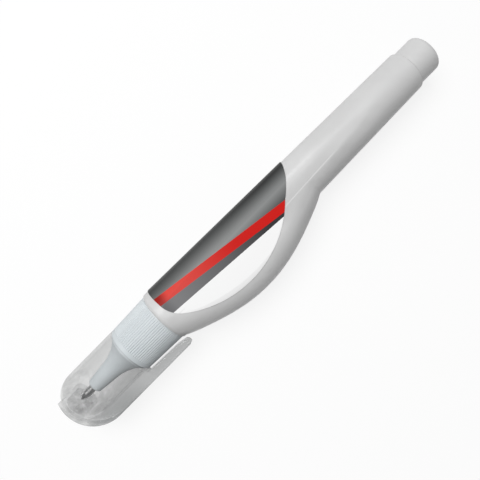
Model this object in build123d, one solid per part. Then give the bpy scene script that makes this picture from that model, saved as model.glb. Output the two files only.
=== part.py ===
from build123d import *
import math
import os

# Correction pen lying on its side, in millimetres.
# It is built along its own axis: +X runs from the cap to the tail, the belly and the clip are on the
# -Y side, and +Z is the upper label face. X is zero where the bottle's shoulder meets the collar.
# At the end the pen is placed with the bottom centre of its box at the origin.

# Bottle barrel: one long cone, flattened on both faces
SHOULDER_DIAMETER = 16.0
TAIL_DIAMETER = 12.1
BARREL_LENGTH = 95.2
BOTTLE_WALL = 1.0
SHOULDER_WALL = 1.4
BARREL_EDGE_ROUND = 0.5
PANEL_DEPTH = 0.5
PANEL_START = 12.0
PANEL_LEVEL_FROM = 54.5
PANEL_CREST_RISE = 0.05

# Bottle belly: a half-moon outline of one crown arc between two flatter flank arcs
BELLY_REACH = 14.6
BELLY_CROWN_AT = 26.5
BELLY_CROWN_RADIUS = 45.0
BELLY_CROWN_HALF_ANGLE = 14.0
BELLY_FLANK_RADIUS = 78.0
BELLY_SECTIONS = 9
BELLY_SWELL = 0.08
BELLY_LEAST_FLAT = 0.2
BELLY_END_CLOSENESS = 1e-6

# Bottle neck, which the nozzle snaps on
NECK_WALL = 1.1
NECK_LENGTH = 9.0
SNAP_BEAD_AT = 5.6
SNAP_BEAD_HEIGHT = 0.25
SNAP_BEAD_LENGTH = 1.2

# Tail plug
PLUG_STEP = 0.575
PLUG_HEAD_LENGTH = 7.2
PLUG_HEAD_ROUND = 1.0
PLUG_INSERT_LENGTH = 6.0
PLUG_WALL = 1.0
PLUG_LEAD_IN = 0.5

# Label
LABEL_THICKNESS = 0.1
LABEL_FRONT = 3.4
LABEL_REAR = 45.8
LABEL_DROP = 9.75
LABEL_DEEPEST_AT = 23.0
LABEL_CORNER_BELOW_AXIS = 1.0
LABEL_FRONT_SLANT = 8.0
LABEL_FRONT_ROUND = 8.0
LABEL_REAR_SLANT = 29.5
LABEL_REAR_BULGE = 2.06

# Nozzle: ribbed collar, cap seat and concave cone
COLLAR_LENGTH = 12.75
COLLAR_STEP = 0.35
COLLAR_TAPER = 0.45
COLLAR_WALL = 1.3
RIB_COUNT = 72
RIB_GROOVE_DEPTH = 0.16
RIB_GROOVE_WIDTH = 0.34
RIB_FRONT_MARGIN = 1.2
RIB_REAR_MARGIN = 0.35
CAP_SEAT_LENGTH = 0.9
CONE_LENGTH = 14.65
FLARE_LENGTH = 7.2
FLARE_STEP = 0.2
FLARE_NECK_DIAMETER = 5.6
CONE_FRONT_DIAMETER = 4.2
CONE_NOSE_ROUND = 0.6
NECK_PLUG_LENGTH = 3.0
NECK_PLUG_WALL = 0.9

# Valve inside the nozzle
CHAMBER_DIAMETER = 3.2
CHAMBER_FRONT_WALL = 3.0
SPRING_SEAT_LEDGE = 0.6
SPRING_SEAT_LENGTH = 1.8
SPRING_SEAT_DEPTH = 10.0
FLOW_HOLE_DIAMETER = 0.7
FLOW_HOLE_CIRCLE = 2.6
FLOW_HOLE_COUNT = 4

# Metal tip
TIP_LENGTH = 4.75
TIP_DIAMETER = 2.26
TIP_TAPER_LENGTH = 2.0
TIP_NOSE_DIAMETER = 1.1
TIP_BORE = 1.56
TIP_ORIFICE = 0.82
TIP_ORIFICE_LENGTH = 0.35
TIP_SEAT_LENGTH = 0.7
TIP_FLANGE_LENGTH = 0.7

# Valve needle and its spring
NEEDLE_SHOW = 0.35
NEEDLE_HEAD_LENGTH = 0.8
NEEDLE_STEM_DIAMETER = 0.8
NEEDLE_COLLAR_LENGTH = 0.5
NEEDLE_TRAVEL = 0.5
SPRING_WIRE = 0.3
SPRING_MEAN_DIAMETER = 1.9
SPRING_TURNS = 5

# Mixing ball
BALL_DIAMETER = 5.0

# Cap: domed tube with a clip blade whose front is a disc round the cap's end
CAP_PROUD = 0.06
CAP_LENGTH = 24.1
CAP_WALL = 0.8
CAP_FRONT_WALL = 1.3
CAP_MOUTH_ROUND = 0.25
SOCKET_DIAMETER = 7.7
SOCKET_BORE = 5.7
SOCKET_DEPTH = 4.6
SOCKET_FLOOR = 0.7
CLIP_WIDTH = 4.4
CLIP_RISE = 3.34
CLIP_DISC_BEHIND_CAP_FRONT = 9.9
CLIP_DISC_SPINE_ANGLE = 21.0
CLIP_TIP_PAST_COLLAR = 0.5
CLIP_SLOT_LENGTH = 0.6
CLIP_SLOT_GAP = 0.4
CLIP_LEAD_IN_LENGTH = 3.4
CLIP_LEAD_IN_RISE = 0.65
CLIP_TIP_INNER_ROUND_SHARE = 0.65
CLIP_TIP_OUTER_ROUND_SHARE = 0.3
CLIP_EDGE_ROUND = 0.4
ON_AXIS_WITHIN = 1e-6

# Seal insert in the cap's socket
SEAL_LENGTH = 3.9
SEAL_MOUTH_CHAMFER = 0.4

# Clearances
PRESS_GAP = 0.03
SLIDE_GAP = 0.06
LABEL_GLUE = 0.08
CAP_MOUTH_GAP = 0.1
VALVE_SEAT_GAP = 0.05
PIN_FLOW_GAP = 0.08
HEAD_FLOW_GAP = 0.16
CHAMBER_FLOW_GAP = 0.4
FLANGE_GAP = 0.1
GUIDE_GAP = 0.1
SEAL_GAP = 0.2
BALL_GAP = 0.1
COLLAR_CLIP_GAP = 0.5

# Places along the axis that follow from the sizes above
collar_front = -COLLAR_LENGTH
cone_front = collar_front - CONE_LENGTH
flare_base_at = collar_front - CAP_SEAT_LENGTH
flare_neck_at = flare_base_at - FLARE_LENGTH
tip_end = cone_front - TIP_LENGTH
flange_front = cone_front + CHAMBER_FRONT_WALL
spring_seat_front = cone_front + SPRING_SEAT_DEPTH
spring_seat_rear = spring_seat_front + SPRING_SEAT_LENGTH
needle_end = tip_end - NEEDLE_SHOW
needle_collar_front = flange_front + TIP_FLANGE_LENGTH + NEEDLE_TRAVEL
needle_collar_rear = needle_collar_front + NEEDLE_COLLAR_LENGTH
cap_mouth = collar_front - CAP_MOUTH_GAP
cap_front = cap_mouth - CAP_LENGTH
clip_disc_at = cap_front + CLIP_DISC_BEHIND_CAP_FRONT
clip_tip = CLIP_TIP_PAST_COLLAR
tail_end = BARREL_LENGTH + PLUG_HEAD_LENGTH
plug_insert_end = BARREL_LENGTH - PLUG_INSERT_LENGTH
ball_at = plug_insert_end - BALL_GAP - BALL_DIAMETER / 2
inner_front = cap_front + CAP_FRONT_WALL
socket_floor_at = inner_front + SOCKET_FLOOR

# Radii that follow from the sizes above
collar_rear_radius = SHOULDER_DIAMETER / 2 - COLLAR_STEP
collar_front_radius = collar_rear_radius - COLLAR_TAPER
neck_radius = collar_front_radius - COLLAR_WALL
neck_bore_radius = neck_radius - NECK_WALL
cap_radius = collar_front_radius + CAP_PROUD
cap_bore_radius = cap_radius - CAP_WALL
cap_seat_radius = cap_bore_radius - SLIDE_GAP
clip_reach = cap_radius + CLIP_RISE
chamber_radius = CHAMBER_DIAMETER / 2
spring_seat_radius = chamber_radius + SPRING_SEAT_LEDGE
needle_stem_radius = NEEDLE_STEM_DIAMETER / 2
guide_hole_radius = needle_stem_radius + GUIDE_GAP


def barrel_radius(x):
    return (SHOULDER_DIAMETER + (TAIL_DIAMETER - SHOULDER_DIAMETER) * x / BARREL_LENGTH) / 2


def panel_half(x):
    """Half the thickness between the label panels before they turn level."""
    return barrel_radius(x) - PANEL_DEPTH


def belly_reach(x):
    """Distance from the pen's axis to the belly's rim."""
    crown_turn = math.radians(BELLY_CROWN_HALF_ANGLE)
    crown_half_length = BELLY_CROWN_RADIUS * math.sin(crown_turn)
    along = abs(x - BELLY_CROWN_AT)
    if along <= crown_half_length:
        return BELLY_REACH - BELLY_CROWN_RADIUS + math.sqrt(BELLY_CROWN_RADIUS**2 - along**2)
    turn = math.asin(math.sin(crown_turn) + (along - crown_half_length) / BELLY_FLANK_RADIUS)
    crown_drop = BELLY_CROWN_RADIUS * (1 - math.cos(crown_turn))
    flank_drop = BELLY_FLANK_RADIUS * (math.cos(crown_turn) - math.cos(turn))
    return BELLY_REACH - crown_drop - flank_drop


def belly_end(direction):
    """Where the belly's rim has sunk into the barrel, before (-1) or behind (+1) its crown."""
    near, far = 0.0, BELLY_FLANK_RADIUS / 2
    while far - near > BELLY_END_CLOSENESS:
        middle = (near + far) / 2
        x = BELLY_CROWN_AT + direction * middle
        if belly_reach(x) - panel_half(x) > BELLY_SWELL + BELLY_LEAST_FLAT:
            near = middle
        else:
            far = middle
    return BELLY_CROWN_AT + direction * near


def turned(*edges):
    """A solid of revolution about the pen's axis from a closed outline in X and radius."""
    return revolve(make_face(Curve() + list(edges)), Axis.X)


def turned_points(*points):
    return revolve(make_face(Polyline(*points, close=True)), Axis.X)


def along_axis(radius, length):
    """A round bar on the pen's axis from X = 0 backwards."""
    return extrude(Plane.YZ * Circle(radius), length)


def belly_section(x, grow):
    half = panel_half(x) + BELLY_SWELL + grow
    round_from = belly_reach(x) + grow - half
    outline = (
        Line((0, -half), (0, half))
        + Line((0, half), (round_from, half))
        + ThreePointArc((round_from, half), (round_from + half, 0), (round_from, -half))
        + Line((round_from, -half), (0, -half))
    )
    return Plane(origin=(x, 0, 0), x_dir=(0, -1, 0), z_dir=(-1, 0, 0)) * make_face(outline)


def belly(grow):
    first, last = belly_end(-1), belly_end(1)
    step = (last - first) / (BELLY_SECTIONS - 1)
    return loft([belly_section(first + i * step, grow) for i in range(BELLY_SECTIONS)])


def panel_envelope(front, grow):
    """Side view of the pen's body between its two label panels, as thick as the pen is wide."""
    start = Vector(PANEL_START, panel_half(PANEL_START) + grow)
    level = Vector(PANEL_LEVEL_FROM, panel_half(PANEL_LEVEL_FROM) + grow)
    rear = Vector(BARREL_LENGTH, level.Y)
    crest = Vector(0, barrel_radius(0) + PANEL_CREST_RISE + grow)
    upper = TangentArc(start, crest, tangent=start - level) + Line(start, level) + Line(level, rear)
    lower = mirror(upper, about=Plane.XZ)
    ends = Line(crest, (crest.X, -crest.Y)) + Line(rear, (rear.X, -rear.Y))
    side = Plane.XZ * make_face(upper + lower + ends)
    body = extrude(side, BELLY_REACH + SHOULDER_DIAMETER, both=True)
    return split(body, Plane.YZ.offset(front), keep=Keep.TOP)


def body_form(front, grow):
    """The bottle's outer form, grown outwards for the label or inwards for the cavity."""
    shoulder = barrel_radius(0) + grow
    tail = barrel_radius(BARREL_LENGTH) + grow
    cone = turned_points((0, 0), (0, shoulder), (BARREL_LENGTH, tail), (BARREL_LENGTH, 0))
    return (cone + belly(grow)) & panel_envelope(front, grow)


def neck_outline(grow):
    """Neck radius with the snap bead, as points from the shoulder forwards."""
    radius = neck_radius + grow
    bead = radius + SNAP_BEAD_HEIGHT
    half = SNAP_BEAD_LENGTH / 2 + grow
    return [
        (0, radius),
        (-SNAP_BEAD_AT + half, radius),
        (-SNAP_BEAD_AT + half - SNAP_BEAD_HEIGHT, bead),
        (-SNAP_BEAD_AT - half + SNAP_BEAD_HEIGHT, bead),
        (-SNAP_BEAD_AT - half, radius),
        (-NECK_LENGTH - grow, radius),
    ]


def make_bottle():
    outer = body_form(0, 0)
    end_edges = outer.edges().group_by(Axis.X)
    outer = fillet(end_edges[0] + end_edges[-1], BARREL_EDGE_ROUND)
    neck_root = (SHOULDER_WALL, neck_radius)
    neck = turned_points((SHOULDER_WALL, 0), neck_root, *neck_outline(0), (-NECK_LENGTH, 0))
    bore = Pos(-NECK_LENGTH, 0, 0) * along_axis(neck_bore_radius, NECK_LENGTH + SHOULDER_WALL)
    return outer + neck - body_form(SHOULDER_WALL, -BOTTLE_WALL) - bore


def make_tail_plug():
    head = TAIL_DIAMETER / 2 - PLUG_STEP
    insert = TAIL_DIAMETER / 2 - BOTTLE_WALL - PRESS_GAP
    bore = insert - PLUG_WALL
    round_start = tail_end - PLUG_HEAD_ROUND
    return turned(
        Polyline(
            (tail_end, 0),
            (tail_end - PLUG_WALL, 0),
            (tail_end - PLUG_WALL, bore),
            (plug_insert_end, bore),
            (plug_insert_end, insert - PLUG_LEAD_IN),
            (plug_insert_end + PLUG_LEAD_IN, insert),
            (BARREL_LENGTH, insert),
            (BARREL_LENGTH, head),
            (round_start, head),
        ),
        RadiusArc((round_start, head), (tail_end, head - PLUG_HEAD_ROUND), PLUG_HEAD_ROUND),
        Line((tail_end, head - PLUG_HEAD_ROUND), (tail_end, 0)),
    )


def label_outline():
    """The sticker's edge seen on the label face, run out past the spine."""
    past_spine = SHOULDER_DIAMETER
    front_run = (past_spine + LABEL_CORNER_BELOW_AXIS) * math.tan(math.radians(LABEL_FRONT_SLANT))
    rear_run = (past_spine + LABEL_CORNER_BELOW_AXIS) * math.tan(math.radians(LABEL_REAR_SLANT))
    front = (LABEL_FRONT, -LABEL_CORNER_BELOW_AXIS)
    rear = (LABEL_REAR, -LABEL_CORNER_BELOW_AXIS)
    field = ThreePointArc(front, (LABEL_DEEPEST_AT, -LABEL_DROP), rear)
    spine_front = (LABEL_FRONT - front_run, past_spine)
    spine_rear = (LABEL_REAR + rear_run, past_spine)
    tail_edge = SagittaArc(rear, spine_rear, -LABEL_REAR_BULGE)
    outline = make_face(field + tail_edge + Polyline(spine_rear, spine_front, front))
    return fillet(outline.vertices().sort_by_distance(front)[0], LABEL_FRONT_ROUND)


def make_label():
    skin = body_form(0, LABEL_GLUE + LABEL_THICKNESS) - body_form(0, LABEL_GLUE)
    return skin & extrude(label_outline(), SHOULDER_DIAMETER, both=True)


def make_nozzle():
    flare_base = cap_seat_radius - FLARE_STEP
    cone_neck, nose = FLARE_NECK_DIAMETER / 2, CONE_FRONT_DIAMETER / 2
    plug_outer = neck_bore_radius - PRESS_GAP
    plug_inner = plug_outer - NECK_PLUG_WALL
    socket = neck_outline(PRESS_GAP)
    web_rear = socket[-1][0]
    plug_end = web_rear + NECK_PLUG_LENGTH
    slim_way = Vector(flare_neck_at - cone_front, cone_neck - nose)
    nose_from = Vector(cone_front, nose) + slim_way.normalized() * CONE_NOSE_ROUND
    nose_to = (cone_front, nose - CONE_NOSE_ROUND)
    tip_hole = TIP_DIAMETER / 2 + PRESS_GAP
    body = turned(
        Polyline(
            (0, collar_rear_radius),
            (collar_front, collar_front_radius),
            (collar_front, cap_seat_radius),
            (flare_base_at, cap_seat_radius),
            (flare_base_at, flare_base),
        ),
        TangentArc((flare_neck_at, cone_neck), (flare_base_at, flare_base), tangent=slim_way),
        Line((flare_neck_at, cone_neck), nose_from),
        TangentArc(nose_from, nose_to, tangent=-slim_way),
        Polyline(
            nose_to,
            (cone_front, tip_hole),
            (flange_front, tip_hole),
            (flange_front, chamber_radius),
            (spring_seat_front, chamber_radius),
            (spring_seat_front, spring_seat_radius),
            (spring_seat_rear, spring_seat_radius),
            (collar_front, plug_inner),
            (plug_end, plug_inner),
            (plug_end, plug_outer),
            (web_rear, plug_outer),
            *reversed(socket),
            (0, collar_rear_radius),
        ),
    )
    return body - rib_grooves()


def rib_grooves():
    """The V grooves between the collar's ribs, cut along its taper."""
    front_x, rear_x = collar_front + RIB_FRONT_MARGIN, -RIB_REAR_MARGIN
    slope = COLLAR_TAPER / COLLAR_LENGTH

    def groove_section(x):
        surface = collar_rear_radius + slope * x
        above = surface + RIB_GROOVE_DEPTH
        # The V stands as far above the surface as it is deep, so there it is twice as wide
        points = (0, surface - RIB_GROOVE_DEPTH), (RIB_GROOVE_WIDTH, above), (-RIB_GROOVE_WIDTH, above)
        return Plane.YZ.offset(x) * make_face(Polyline(*points, close=True))

    groove = loft([groove_section(front_x), groove_section(rear_x)])
    return [groove.rotate(Axis.X, i * 360 / RIB_COUNT) for i in range(RIB_COUNT)]


def make_tip_sleeve():
    outer, nose = TIP_DIAMETER / 2, TIP_NOSE_DIAMETER / 2
    orifice, bore = TIP_ORIFICE / 2, TIP_BORE / 2
    flange = chamber_radius - FLANGE_GAP
    flange_rear = flange_front + TIP_FLANGE_LENGTH
    seat_front = tip_end + TIP_ORIFICE_LENGTH
    return turned_points(
        (tip_end, orifice),
        (tip_end, nose),
        (tip_end + TIP_TAPER_LENGTH, outer),
        (flange_front, outer),
        (flange_front, flange),
        (flange_rear, flange),
        (flange_rear, bore),
        (seat_front + TIP_SEAT_LENGTH, bore),
        (seat_front, orifice),
    )


def make_valve_needle():
    pin = TIP_ORIFICE / 2 - PIN_FLOW_GAP
    head = TIP_BORE / 2 - HEAD_FLOW_GAP
    collar = chamber_radius - CHAMBER_FLOW_GAP
    seat_slope = TIP_SEAT_LENGTH / ((TIP_BORE - TIP_ORIFICE) / 2)
    cone_front_at = tip_end + TIP_ORIFICE_LENGTH + (VALVE_SEAT_GAP - PIN_FLOW_GAP) * seat_slope
    cone_rear_at = cone_front_at + (head - pin) * seat_slope
    head_rear = cone_rear_at + NEEDLE_HEAD_LENGTH
    return turned(
        RadiusArc((needle_end, 0), (needle_end + pin, pin), pin),
        Polyline(
            (needle_end + pin, pin),
            (cone_front_at, pin),
            (cone_rear_at, head),
            (head_rear, head),
            (head_rear, needle_stem_radius),
            (needle_collar_front, needle_stem_radius),
            (needle_collar_front, collar),
            (needle_collar_rear, collar),
            (needle_collar_rear, needle_stem_radius),
            (spring_seat_rear - NEEDLE_TRAVEL, needle_stem_radius),
            (spring_seat_rear - NEEDLE_TRAVEL, 0),
            (needle_end, 0),
        ),
    )


def make_valve_spring():
    wire = SPRING_WIRE / 2
    length = spring_seat_front - needle_collar_rear - SPRING_WIRE - 2 * SLIDE_GAP
    coil = Helix(length / SPRING_TURNS, length, SPRING_MEAN_DIAMETER / 2)
    section = Plane(coil @ 0, z_dir=coil % 0) * Circle(wire)
    start = needle_collar_rear + wire + SLIDE_GAP
    return Pos(start, 0, 0) * Rot(0, 90, 0) * sweep(section, coil)


def make_spring_seat():
    bush = turned_points(
        (spring_seat_front, guide_hole_radius),
        (spring_seat_front, spring_seat_radius - PRESS_GAP),
        (spring_seat_rear, spring_seat_radius - PRESS_GAP),
        (spring_seat_rear, guide_hole_radius),
    )
    hole_at = Pos(spring_seat_front, FLOW_HOLE_CIRCLE / 2, 0)
    hole = hole_at * along_axis(FLOW_HOLE_DIAMETER / 2, SPRING_SEAT_LENGTH)
    return bush - [hole.rotate(Axis.X, i * 360 / FLOW_HOLE_COUNT) for i in range(FLOW_HOLE_COUNT)]


def make_mixing_ball():
    floor = BOTTLE_WALL - barrel_radius(plug_insert_end)
    return Pos(ball_at, 0, floor + BALL_GAP + BALL_DIAMETER / 2) * Sphere(BALL_DIAMETER / 2)


def dome_profile(radius, front, mouth):
    """Closed outline of a round-ended bar about the axis, from its front to the mouth."""
    centre = front + radius
    return [
        RadiusArc((front, 0), (centre, radius), radius),
        Polyline((centre, radius), (mouth, radius), (mouth, 0), (front, 0)),
    ]


def clip_outline():
    """The clip blade from above: a disc round the cap's front that runs into a straight bar."""
    spine_turn = math.radians(CLIP_DISC_SPINE_ANGLE)
    spine_start = (clip_disc_at - clip_reach * math.cos(spine_turn), clip_reach * math.sin(spine_turn))
    bar_start = (clip_disc_at, -clip_reach)
    slot_end = cap_mouth - CLIP_SLOT_LENGTH
    slot_y = -(cap_radius + CLIP_SLOT_GAP)
    lead_in_at = clip_tip - CLIP_LEAD_IN_LENGTH
    lead_in_y = -(collar_rear_radius + COLLAR_CLIP_GAP)
    tip_y = lead_in_y - CLIP_LEAD_IN_RISE
    blade = make_face(
        ThreePointArc(spine_start, (clip_disc_at - clip_reach, 0), bar_start)
        + Polyline(
            bar_start,
            (clip_tip, -clip_reach),
            (clip_tip, tip_y),
            (lead_in_at, lead_in_y),
            (slot_end, slot_y),
            (slot_end, 0),
            (clip_disc_at, 0),
            spine_start,
        )
    )
    tip_width = clip_reach + tip_y
    inner_corner = blade.vertices().group_by(Axis.X)[-1].sort_by(Axis.Y)[-1]
    blade = fillet(inner_corner, tip_width * CLIP_TIP_INNER_ROUND_SHARE)
    outer_corner = blade.vertices().group_by(Axis.X)[-1].sort_by(Axis.Y)[0]
    return fillet(outer_corner, tip_width * CLIP_TIP_OUTER_ROUND_SHARE)


def clear_of_axis(edge):
    """Whether an edge of the clip blade runs outside the cap, not through its middle."""
    return all(abs(corner.Y) > ON_AXIS_WITHIN for corner in edge.vertices())


def make_cap():
    dome = turned(*dome_profile(cap_radius, cap_front, cap_mouth))
    tube = fillet(dome.edges().group_by(Axis.X)[-1], CAP_MOUTH_ROUND)
    blade = extrude(clip_outline(), CLIP_WIDTH / 2, both=True)
    blade_edges = blade.faces().filter_by(Axis.Z).edges()
    blade = fillet(blade_edges.filter_by(clear_of_axis), CLIP_EDGE_ROUND)
    bore = turned(*dome_profile(cap_bore_radius, inner_front, cap_mouth))
    socket = turned_points(
        (inner_front, 0),
        (inner_front, SOCKET_DIAMETER / 2),
        (socket_floor_at + SOCKET_DEPTH, SOCKET_DIAMETER / 2),
        (socket_floor_at + SOCKET_DEPTH, SOCKET_BORE / 2),
        (socket_floor_at, SOCKET_BORE / 2),
        (socket_floor_at, 0),
    )
    return tube + blade - bore + (socket & dome)


def make_tip_seal():
    outer = SOCKET_BORE / 2 - PRESS_GAP
    hole = TIP_DIAMETER / 2 + SEAL_GAP
    mouth = socket_floor_at + SEAL_LENGTH
    return turned_points(
        (socket_floor_at, 0),
        (socket_floor_at, outer),
        (mouth, outer),
        (mouth, hole + SEAL_MOUTH_CHAMFER),
        (mouth - SEAL_MOUTH_CHAMFER, hole),
        (needle_end - SEAL_GAP, hole),
        (needle_end - SEAL_GAP, 0),
    )


parts = {
    "bottle": make_bottle(),
    "tail_plug": make_tail_plug(),
    "label": make_label(),
    "nozzle": make_nozzle(),
    "tip_sleeve": make_tip_sleeve(),
    "valve_needle": make_valve_needle(),
    "valve_spring": make_valve_spring(),
    "spring_seat": make_spring_seat(),
    "mixing_ball": make_mixing_ball(),
    "cap": make_cap(),
    "tip_seal": make_tip_seal(),
}

# The origin goes to the bottom centre of the whole pen's box
box = Compound(list(parts.values())).bounding_box()
place = Pos(-box.center().X, -box.center().Y, -box.min.Z)

os.makedirs("parts", exist_ok=True)
for name, shape in parts.items():
    export_step(place * shape, f"parts/{name}.step")
print("pen frame to row frame:", place.position)
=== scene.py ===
import math

import bpy
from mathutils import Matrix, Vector


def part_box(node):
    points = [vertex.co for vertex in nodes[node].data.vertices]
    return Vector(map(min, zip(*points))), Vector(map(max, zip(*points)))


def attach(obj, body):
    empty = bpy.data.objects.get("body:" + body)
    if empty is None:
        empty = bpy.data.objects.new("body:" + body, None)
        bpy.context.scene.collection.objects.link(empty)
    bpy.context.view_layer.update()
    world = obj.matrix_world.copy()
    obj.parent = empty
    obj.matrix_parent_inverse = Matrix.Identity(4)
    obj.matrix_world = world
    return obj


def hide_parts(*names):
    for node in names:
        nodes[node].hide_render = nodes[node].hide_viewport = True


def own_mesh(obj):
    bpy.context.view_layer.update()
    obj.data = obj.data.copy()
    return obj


# Correction pen seen from straight above, on a white floor.
# Lengths are in metres. The pen's own places are given in millimetres from its shoulder, where the
# bottle meets the ribbed collar: X runs to the tail, Y to the spine and Z up, all from the pen's axis.
# A name with SPAN in it holds the two places, in millimetres, between which something changes.

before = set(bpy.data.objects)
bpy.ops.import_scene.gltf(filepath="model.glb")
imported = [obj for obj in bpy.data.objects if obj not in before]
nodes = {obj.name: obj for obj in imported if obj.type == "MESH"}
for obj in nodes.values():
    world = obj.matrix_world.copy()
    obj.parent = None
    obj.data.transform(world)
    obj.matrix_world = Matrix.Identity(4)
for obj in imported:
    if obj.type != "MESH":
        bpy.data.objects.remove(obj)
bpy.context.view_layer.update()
MM = 0.001

plug_low, plug_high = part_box("tail_plug")
axis_y = (plug_low.y + plug_high.y) / 2
axis_z = (plug_low.z + plug_high.z) / 2
shoulder_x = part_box("nozzle")[1].x

# Camera: it looks straight down, with the pen's tail up and to the right
CAMERA_ABOVE_AXIS = 130.3
VIEW_CENTRE_X = 29.74
VIEW_CENTRE_Y = -0.21
PEN_TURN = 45.35
LENS_MM = 35.33
SENSOR_MM = 36.0

# Lamps: a wide key on the spine side and a weak low fill on the belly side, in a soft grey world
KEY_PLACE = (20.0, 220.0, 470.0)
KEY_SIZE = 0.4
KEY_POWER = 2.9
FILL_PLACE = (20.0, -400.0, 180.0)
FILL_SIZE = 0.4
FILL_POWER = 0.11
WORLD_STRENGTH = 0.17

# Floor: its tone where it is seen and where it only lights the pen, and the share of plain white that
# covers it where it is seen, from that share under the pen to all of it further out
FLOOR_SIZE = 4.0
FLOOR_SEEN_TONE = 0.88
FLOOR_LIGHTING_TONE = 0.4
FLOOR_WHITE = 0.85
FLOOR_WHITE_SPAN = (120.0, 450.0)

# Bottle behind the label: the slope at which its faces fall to the belly side, from a line near the axis
# to one that nears it towards the rear, and the fine straight crease that runs there along the barrel
RELIEF_START_SPAN_X = (30.0, 40.0)
BELLY_FALL = 0.22
FALL_FROM_Y = 1.0
FALL_TO_Y = -6.5
FALL_TO_Y_REAR = -3.0
FALL_NARROWS_SPAN_X = (46.0, 57.0)
FALL_END_SPAN_X = (54.0, 70.0)
CREASE_X = 44.7
CREASE_Y = -2.5
CREASE_SLOPE = 0.046
CREASE_WIDTH = 0.4
CREASE_RISE = 0.07
CREASE_END_SPAN_X = (61.0, 67.0)

# Radii that soften the edges of the mouldings: the bottle's, those at its tail end, and the nozzle's
BOTTLE_EDGE_ROUND = 2.2
TAIL_EDGE_ROUND = 0.4
TAIL_SPAN_X = (86.0, 93.0)
NOZZLE_EDGE_ROUND = 0.1

# Cap: share of light that its outer faces stop, below and above, what the clip side (partly the clip's
# plastic, partly painted shade on the side turned from the key lamp), the clip's root, the front, the
# rims and the flow marks add to that, and the part of it all that the faces inside stop
HAZE_BELOW = 0.28
HAZE_ABOVE = 0.1
# Partly the clip's own plastic and partly painted shade over the whole clip side of the cap, which faces
# away from the key lamp
HAZE_CLIP_AND_SHADE = 0.26
HAZE_CLIP_ROOT = 0.17
HAZE_FRONT = 0.18
HAZE_RIM = 0.3
HAZE_RIM_FALLOFF = 2.0
HAZE_FLOW = 0.09
HAZE_INSIDE = 0.3

# Cap: where those shares change. The faces inside are told from the outer ones by their distance from the
# bore's axis, or from the centre of the dome at its front, which WALL_SPAN gives
UPPER_FACE_SPAN_Z = (-1.0, 1.0)
CLIP_SPAN_Y = (-9.0, 0.0)
CLIP_ROOT_SPAN_X = (-25.0, -15.0)
CLIP_ROOT_SPAN_Y = (-8.0, -6.5)
FRONT_SPAN_X = (-36.5, -30.0)
FRONT_SPAN_Y = (0.0, 5.0)
FLOW_SPAN_X = (-30.0, -24.0)
BORE_DOME_X = -29.2
WALL_SPAN = (6.6, 7.0)

# Label print: a straight red stripe and the edge of a white field, each a line with a slope and a place
# at PRINT_X, from where the spans below run along the print
PRINT_X = 7.9
PRINT_EDGE = 0.05
STRIPE_Y = 2.9
STRIPE_SLOPE = -0.142
STRIPE_WIDTH = 2.5
FIELD_Y = -1.5
FIELD_SLOPE = -0.075
FIELD_TONE = 0.87
# Painted shade at the label's front edge fades out over this span
FRONT_EDGE_SHADE_SPAN = (-4.4, -1.2)

# Label above the stripe: grey, lightest along a line beside the axis, and dark at a distance from that
LIGHT_Y = 2.0
LIGHT_REACH = 5.0
LIGHT_REACH_REAR = 4.1
LIGHT_NARROWS_SPAN = (10.0, 42.0)
UPPER_SPAN = (0.0, 42.0)
LIGHTEST_GREY = (0.285, 0.29, 0.288, 1)
LIGHTEST_GREY_REAR = (0.24, 0.247, 0.246, 1)
DARKEST_GREY = (0.036, 0.038, 0.038, 1)
DARKEST_GREY_REAR = (0.012, 0.013, 0.013, 1)

# Label below the stripe, and the stripe: each darkens to the rear, and close to the front edge, where the
# darkening is painted shade of the label curving away towards the shoulder
LOWER_SPAN = (0.0, 30.0)
LOWER_GREY = (0.187, 0.187, 0.192, 1)
LOWER_GREY_REAR = (0.03, 0.03, 0.032, 1)
LOWER_GREY_EDGE_SHADE = (0.135, 0.135, 0.14, 1)
RED_SPAN = (0.0, 22.0)
RED = (0.65, 0.062, 0.05, 1)
RED_REAR = (0.56, 0.006, 0.003, 1)
RED_EDGE_SHADE = (0.3, 0.016, 0.012, 1)

# Most values of a noise lie in this range
NOISE_RANGE = (0.3, 0.7)

# A smooth step is half as steep again in its middle as a straight one
SMOOTH_STEP_STEEPNESS = 1.5


def place(x, y, z):
    """A place on the pen, from millimetres off its shoulder and axis."""
    return Vector((shoulder_x + x * MM, axis_y + y * MM, axis_z + z * MM))


def grey(value):
    return (value, value, value, 1)


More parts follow.
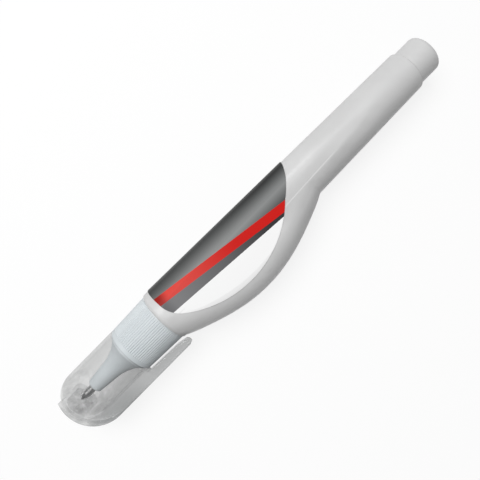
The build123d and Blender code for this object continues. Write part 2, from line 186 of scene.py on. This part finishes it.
class Nodes:
    """A material's node tree with a short way to add and link nodes."""

    def __init__(self, name):
        self.material = bpy.data.materials.new(name)
        self.material.use_nodes = True
        self.tree = self.material.node_tree
        self.shader = self.tree.nodes["Principled BSDF"]
        self.coords = self.add("ShaderNodeTexCoord").outputs["Object"]

    def add(self, kind, inputs=(), **settings):
        node = self.tree.nodes.new(kind)
        for key, value in settings.items():
            setattr(node, key, value)
        for key, value in dict(inputs).items():
            self.put(node.inputs[key], value)
        return node

    def put(self, socket, value):
        """Links another node's output to a socket, or sets the socket to a fixed value."""
        if isinstance(value, bpy.types.NodeSocket):
            self.tree.links.new(value, socket)
        else:
            socket.default_value = value

    def set(self, **values):
        """Sets the shader's own sockets, with underscores for the spaces in their names."""
        for key, value in values.items():
            self.put(self.shader.inputs[key.replace("_", " ")], value)

    def math(self, operation, a, b=0.0, c=0.0, clamp=False):
        node = self.add("ShaderNodeMath", {0: a, 1: b, 2: c}, operation=operation, use_clamp=clamp)
        return node.outputs[0]

    def times(self, a, b):
        return self.math("MULTIPLY", a, b)

    def less(self, a, b):
        return self.math("SUBTRACT", a, b)

    def noise(self, scale, detail=2.0, stretch=(1, 1, 1)):
        """Noise of so many waves per metre on the object's own coordinates."""
        spread = self.add("ShaderNodeMapping", {"Vector": self.coords, "Scale": stretch})
        inputs = {"Vector": spread.outputs[0], "Scale": scale, "Detail": detail}
        return self.add("ShaderNodeTexNoise", inputs).outputs["Fac"]

    def from_place(self, centre):
        """The way from a place to the point on the surface, in metres."""
        way = self.add("ShaderNodeVectorMath", {0: self.coords, 1: centre}, operation="SUBTRACT")
        return way.outputs[0]

    def length(self, vector):
        return self.add("ShaderNodeVectorMath", {0: vector}, operation="LENGTH").outputs["Value"]

    def pen_axes(self):
        """How far the point on the surface is along X, Y and Z from the pen's shoulder and axis."""
        return self.add("ShaderNodeSeparateXYZ", {0: self.from_place(place(0, 0, 0))}).outputs

    def from_bore(self, dome_centre):
        """Distance from the axis of a round bore, or from the centre of the dome at its front."""
        # Places behind the dome's centre count as level with it, and a metre leaves the rest as it is
        limits = {0: self.from_place(dome_centre), 1: (0, 1, 1)}
        return self.length(self.add("ShaderNodeVectorMath", limits, operation="MINIMUM").outputs[0])

    def past_line(self, along, across, line_y, slope):
        """Distance to the spine side of a straight line that has that Y where along is zero."""
        return self.less(across, self.math("MULTIPLY_ADD", along, slope, line_y * MM))

    def between(self, factor, low, high, limits=NOISE_RANGE, curve="SMOOTHSTEP"):
        """A number that goes from low to high as the factor goes from one limit to the other."""
        inputs = {0: factor, 1: limits[0], 2: limits[1], 3: low, 4: high}
        return self.add("ShaderNodeMapRange", inputs, interpolation_type=curve).outputs[0]

    def over(self, distance, low, high, span, curve="SMOOTHSTEP"):
        """A number that goes from low to high over a span, which is in millimetres."""
        return self.between(distance, low, high, [end * MM for end in span], curve)

    def blend(self, factor, first, second):
        node = self.add("ShaderNodeMix", data_type="RGBA")
        self.put(node.inputs[0], factor)
        self.put(node.inputs[6], first)
        self.put(node.inputs[7], second)
        return node.outputs[2]

    def mottle(self, noise, pale, dull):
        """A colour that changes from pale to dull with a noise."""
        return self.blend(self.between(noise, 0, 1), pale, dull)

    def soft_edges(self, radius):
        """The surface's normal with its edges rounded off."""
        return self.add("ShaderNodeBevel", {"Radius": radius}, samples=8).outputs[0]

    def bump(self, height, depth, normal=None):
        """Surface relief of that depth, on the surface as it is or on one that was changed before."""
        inputs = {"Height": height, "Distance": depth}
        if normal:
            inputs["Normal"] = normal
        return self.add("ShaderNodeBump", inputs).outputs[0]


# Materials

def belly_relief(made, x, y):
    """Height in metres of the bottle's faces over their solid, behind the label: a fall and a crease."""
    fall_to = made.over(x, FALL_TO_Y * MM, FALL_TO_Y_REAR * MM, FALL_NARROWS_SPAN_X)
    depth = made.times(made.less(fall_to, FALL_FROM_Y * MM), BELLY_FALL / SMOOTH_STEP_STEEPNESS)
    fall = made.between(y, depth, 0, (fall_to, FALL_FROM_Y * MM))
    fall = made.times(fall, made.over(x, 1, 0, FALL_END_SPAN_X))
    past_crease = made.past_line(made.less(x, CREASE_X * MM), y, CREASE_Y, CREASE_SLOPE)
    crease = made.over(past_crease, CREASE_RISE * MM, 0, (-CREASE_WIDTH / 2, CREASE_WIDTH / 2))
    crease = made.times(crease, made.over(x, 1, 0, CREASE_END_SPAN_X))
    return made.times(made.math("ADD", fall, crease), made.over(x, 0, 1, RELIEF_START_SPAN_X))


def bottle_surface(made):
    """The bottle's normal: softened edges, sharper ones at its tail, and the relief behind the label."""
    x, y = made.pen_axes()[:2]
    softened = made.soft_edges(made.over(x, BOTTLE_EDGE_ROUND * MM, TAIL_EDGE_ROUND * MM, TAIL_SPAN_X))
    return made.bump(belly_relief(made, x, y), depth=1.0, normal=softened)


def nozzle_surface(made):
    return made.soft_edges(NOZZLE_EDGE_ROUND * MM)


def moulded_plastic(name, pale, dull, roughness, grain_depth, surface):
    """Satin plastic with a slow change of tone and the fine grain of the mould on its surface.

    Its roughness lies between two values, and the depth of its grain is in millimetres.
    """
    made = Nodes(name)
    slow = made.noise(scale=60, detail=3)
    fine = made.noise(scale=2500)
    made.set(
        Base_Color=made.mottle(slow, pale, dull),
        Roughness=made.between(fine, *roughness),
        Normal=made.bump(fine, grain_depth * MM, surface(made)),
        Subsurface_Weight=0.12,
        Subsurface_Radius=(1.0, 1.0, 1.0),
        Subsurface_Scale=0.6 * MM,
        IOR=1.5,
    )
    return made.material


def cap_haze(made):
    """Share of light that the cap stops at each place on its faces."""
    x, y, z = made.pen_axes()
    faces = made.over(z, HAZE_BELOW, HAZE_ABOVE, UPPER_FACE_SPAN_Z)
    root = made.over(x, HAZE_CLIP_ROOT, 0, CLIP_ROOT_SPAN_X)
    root = made.over(y, root, 0, CLIP_ROOT_SPAN_Y)
    # The clip side's haze: partly the clip's own plastic, partly painted shade on the side away from the
    # key lamp
    clip = made.math("ADD", made.over(y, HAZE_CLIP_AND_SHADE, 0, CLIP_SPAN_Y), root)
    front = made.over(x, HAZE_FRONT, 0, FRONT_SPAN_X)
    front = made.times(front, made.over(y, 1, 0, FRONT_SPAN_Y))
    edge_on = made.add("ShaderNodeLayerWeight", {"Blend": 0.5}).outputs["Facing"]
    rim = made.times(made.math("POWER", edge_on, HAZE_RIM_FALLOFF), HAZE_RIM)
    flow = made.between(made.noise(scale=420, detail=3), -HAZE_FLOW, HAZE_FLOW)
    flow = made.times(flow, made.over(x, 1, 0, FLOW_SPAN_X))
    haze = made.math("ADD", faces, made.math("MAXIMUM", clip, front))
    haze = made.math("ADD", haze, rim)
    haze = made.math("ADD", haze, flow, clamp=True)
    inside = made.over(made.from_bore(place(BORE_DOME_X, 0, 0)), HAZE_INSIDE, 1, WALL_SPAN)
    return made.times(haze, inside)


def clear_plastic():
    """Hazy clear moulding, hazier towards its clip, partly for the clip's thicker plastic and partly as
    painted shade on the side away from the key lamp, with the slow waves of its flow.
    """
    made = Nodes("clear_plastic")
    waves = made.noise(scale=220, stretch=(0.35, 1, 1))
    fine = made.noise(scale=3000)
    made.set(
        Base_Color=made.mottle(waves, pale=(0.36, 0.37, 0.37, 1), dull=(0.3, 0.31, 0.31, 1)),
        Roughness=made.between(fine, 0.1, 0.18),
        Normal=made.bump(waves, depth=0.08 * MM),
        Alpha=cap_haze(made),
        Coat_Weight=0.5,
        Coat_Roughness=0.06,
        IOR=1.49,
    )
    return made.material


def metal(name, pale, dull, roughness, stretch):
    """Turned metal with fine marks round or along it, and a roughness between two values."""
    made = Nodes(name)
    marks = made.noise(scale=4000, detail=3, stretch=stretch)
    made.set(
        Base_Color=made.mottle(marks, pale, dull),
        Metallic=1.0,
        Roughness=made.between(marks, *roughness),
        Normal=made.bump(marks, depth=0.004 * MM),
    )
    return made.material


def soft_seal():
    """Nearly clear soft plastic with a fine grain."""
    made = Nodes("soft_seal")
    fine = made.noise(scale=1800)
    made.set(
        Base_Color=made.mottle(fine, pale=grey(0.96), dull=grey(0.92)),
        Roughness=made.between(fine, 0.04, 0.1),
        Normal=made.bump(fine, depth=0.004 * MM),
        Transmission_Weight=0.98,
        IOR=1.03,
    )
    return made.material


def print_colour(made):
    """The label's print: shaded dark grey, one straight red stripe and a white field, with painted shade
    on the stripe and the grey below it close to the front edge.
    """
    x, across = made.pen_axes()[:2]
    along = made.less(x, PRINT_X * MM)
    past_stripe = made.past_line(along, across, STRIPE_Y, STRIPE_SLOPE)
    past_field = made.past_line(along, across, FIELD_Y, FIELD_SLOPE)

    def beyond(distance, edge_at):
        """1 on the spine side of a print's edge, which is that far from a line, and 0 on the other."""
        return made.over(distance, 0, 1, (edge_at - PRINT_EDGE / 2, edge_at + PRINT_EDGE / 2))

    to_rear = made.over(along, 0, 1, UPPER_SPAN)
    lightest = made.blend(to_rear, LIGHTEST_GREY, LIGHTEST_GREY_REAR)
    darkest = made.blend(to_rear, DARKEST_GREY, DARKEST_GREY_REAR)
    off_light = made.math("ABSOLUTE", made.less(across, LIGHT_Y * MM))
    reach = made.over(along, LIGHT_REACH * MM, LIGHT_REACH_REAR * MM, LIGHT_NARROWS_SPAN)
    upper = made.blend(made.between(off_light, 0, 1, (0, reach), "LINEAR"), lightest, darkest)

    # Painted shade close to the label's front edge, on the stripe and the grey below it
    off_edge_shade = made.over(along, 0, 1, FRONT_EDGE_SHADE_SPAN)
    lower = made.blend(made.over(along, 0, 1, LOWER_SPAN, "LINEAR"), LOWER_GREY, LOWER_GREY_REAR)
    lower = made.blend(off_edge_shade, LOWER_GREY_EDGE_SHADE, lower)
    red = made.blend(made.over(along, 0, 1, RED_SPAN), RED, RED_REAR)
    red = made.blend(off_edge_shade, RED_EDGE_SHADE, red)

    past_lower_edge = beyond(past_stripe, -STRIPE_WIDTH / 2)
    past_upper_edge = beyond(past_stripe, STRIPE_WIDTH / 2)
    in_stripe = made.math("SUBTRACT", past_lower_edge, past_upper_edge, clamp=True)
    colour = made.blend(beyond(past_stripe, 0), lower, upper)
    colour = made.blend(in_stripe, colour, red)
    return made.blend(beyond(past_field, 0), grey(FIELD_TONE), colour)


def label_film():
    """Glossy printed film with a fine grain."""
    made = Nodes("label_film")
    grain = made.noise(scale=3500)
    made.set(
        Base_Color=print_colour(made),
        Roughness=made.between(grain, 0.34, 0.42),
        Normal=made.bump(grain, depth=0.003 * MM),
        Specular_IOR_Level=0.1,
    )
    return made.material


def dress(material, *names):
    """Gives solids of the pen a material."""
    for name in names:
        mesh = nodes[name].data
        mesh.materials.clear()
        mesh.materials.append(material)


bottle_plastic = moulded_plastic(
    "bottle_plastic",
    pale=grey(0.63),
    dull=grey(0.6),
    roughness=(0.31, 0.41),
    grain_depth=0.004,
    surface=bottle_surface,
)
nozzle_plastic = moulded_plastic(
    "nozzle_plastic",
    pale=(0.61, 0.65, 0.67, 1),
    dull=(0.58, 0.62, 0.64, 1),
    roughness=(0.4, 0.5),
    grain_depth=0.006,
    surface=nozzle_surface,
)
tip_metal = metal(
    "tip_metal",
    pale=grey(0.52),
    dull=grey(0.442),
    roughness=(0.3, 0.44),
    stretch=(6, 1, 1),
)
spring_steel = metal(
    "spring_steel",
    pale=grey(0.6),
    dull=grey(0.51),
    roughness=(0.19, 0.33),
    stretch=(1, 6, 6),
)
dress(bottle_plastic, "bottle", "tail_plug")
dress(nozzle_plastic, "nozzle", "spring_seat")
dress(label_film(), "label")
dress(clear_plastic(), "cap")
dress(tip_metal, "tip_sleeve", "valve_needle")
dress(spring_steel, "valve_spring", "mixing_ball")
dress(soft_seal(), "tip_seal")


# Spring, stage, light and camera

def make_spring():
    """A copy of the valve spring with a mesh of its own, which rides on the pen's body in place of the
    spring; the real spring closes up against its seat as the needle is pressed back.
    """
    coil = bpy.data.objects.new("spring_coil", nodes["valve_spring"].data.copy())
    bpy.context.scene.collection.objects.link(coil)
    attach(coil, "pen_body")
    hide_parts("valve_spring")
    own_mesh(coil)


def make_floor():
    """A pale floor that takes the pen's shadow and is plain white further out."""
    bpy.ops.mesh.primitive_plane_add(size=FLOOR_SIZE)
    floor = bpy.context.object
    floor.name = "floor"
    made = Nodes("floor")
    path = made.add("ShaderNodeLightPath")
    seen = made.math("MAXIMUM", path.outputs["Is Camera Ray"], path.outputs["Is Glossy Ray"])
    seen = made.math("MAXIMUM", seen, path.outputs["Is Transmission Ray"])
    made.set(Base_Color=made.blend(seen, grey(FLOOR_LIGHTING_TONE), grey(FLOOR_SEEN_TONE)), Roughness=0.9)
    white = made.add("ShaderNodeEmission", {"Color": grey(1), "Strength": 1.0})
    share = made.over(made.length(made.coords), FLOOR_WHITE, 1, FLOOR_WHITE_SPAN)
    mix = made.add("ShaderNodeMixShader", {0: made.times(seen, share)})
    made.put(mix.inputs[1], made.shader.outputs[0])
    made.put(mix.inputs[2], white.outputs[0])
    made.put(made.tree.nodes["Material Output"].inputs["Surface"], mix.outputs[0])
    floor.data.materials.append(made.material)


def make_world():
    """Soft grey light all round, seen as white."""
    world = bpy.data.worlds.new("studio")
    bpy.context.scene.world = world
    world.use_nodes = True
    tree = world.node_tree
    background = tree.nodes["Background"]
    background.inputs["Color"].default_value = grey(1)
    path = tree.nodes.new("ShaderNodeLightPath")
    strength = tree.nodes.new("ShaderNodeMapRange")
    strength.inputs[3].default_value = WORLD_STRENGTH
    strength.inputs[4].default_value = 1.0
    tree.links.new(path.outputs["Is Camera Ray"], strength.inputs[0])
    tree.links.new(strength.outputs[0], background.inputs["Strength"])


def make_lamp(name, spot, size, power):
    """A round lamp at a place on the pen's scale, which shines at the middle of the view."""
    lamp = bpy.data.lights.new(name, "AREA")
    lamp.shape = "DISK"
    lamp.size = size
    lamp.energy = power
    holder = bpy.data.objects.new(name, lamp)
    holder.location = place(*spot)
    way = place(VIEW_CENTRE_X, 0, 0) - holder.location
    holder.rotation_euler = way.to_track_quat("-Z", "Y").to_euler()
    holder.visible_camera = False
    bpy.context.scene.collection.objects.link(holder)


def make_camera():
    data = bpy.data.cameras.new("camera")
    data.lens = LENS_MM
    data.sensor_width = SENSOR_MM
    data.clip_start = 0.01
    camera = bpy.data.objects.new("camera", data)
    camera.location = place(VIEW_CENTRE_X, VIEW_CENTRE_Y, CAMERA_ABOVE_AXIS)
    camera.rotation_euler = (0, 0, math.radians(-PEN_TURN))
    bpy.context.scene.collection.objects.link(camera)
    bpy.context.scene.camera = camera


make_spring()
make_floor()
make_world()
make_lamp("key", KEY_PLACE, KEY_SIZE, KEY_POWER)
make_lamp("fill", FILL_PLACE, FILL_SIZE, FILL_POWER)
make_camera()
bpy.context.scene.view_settings.view_transform = "Standard"
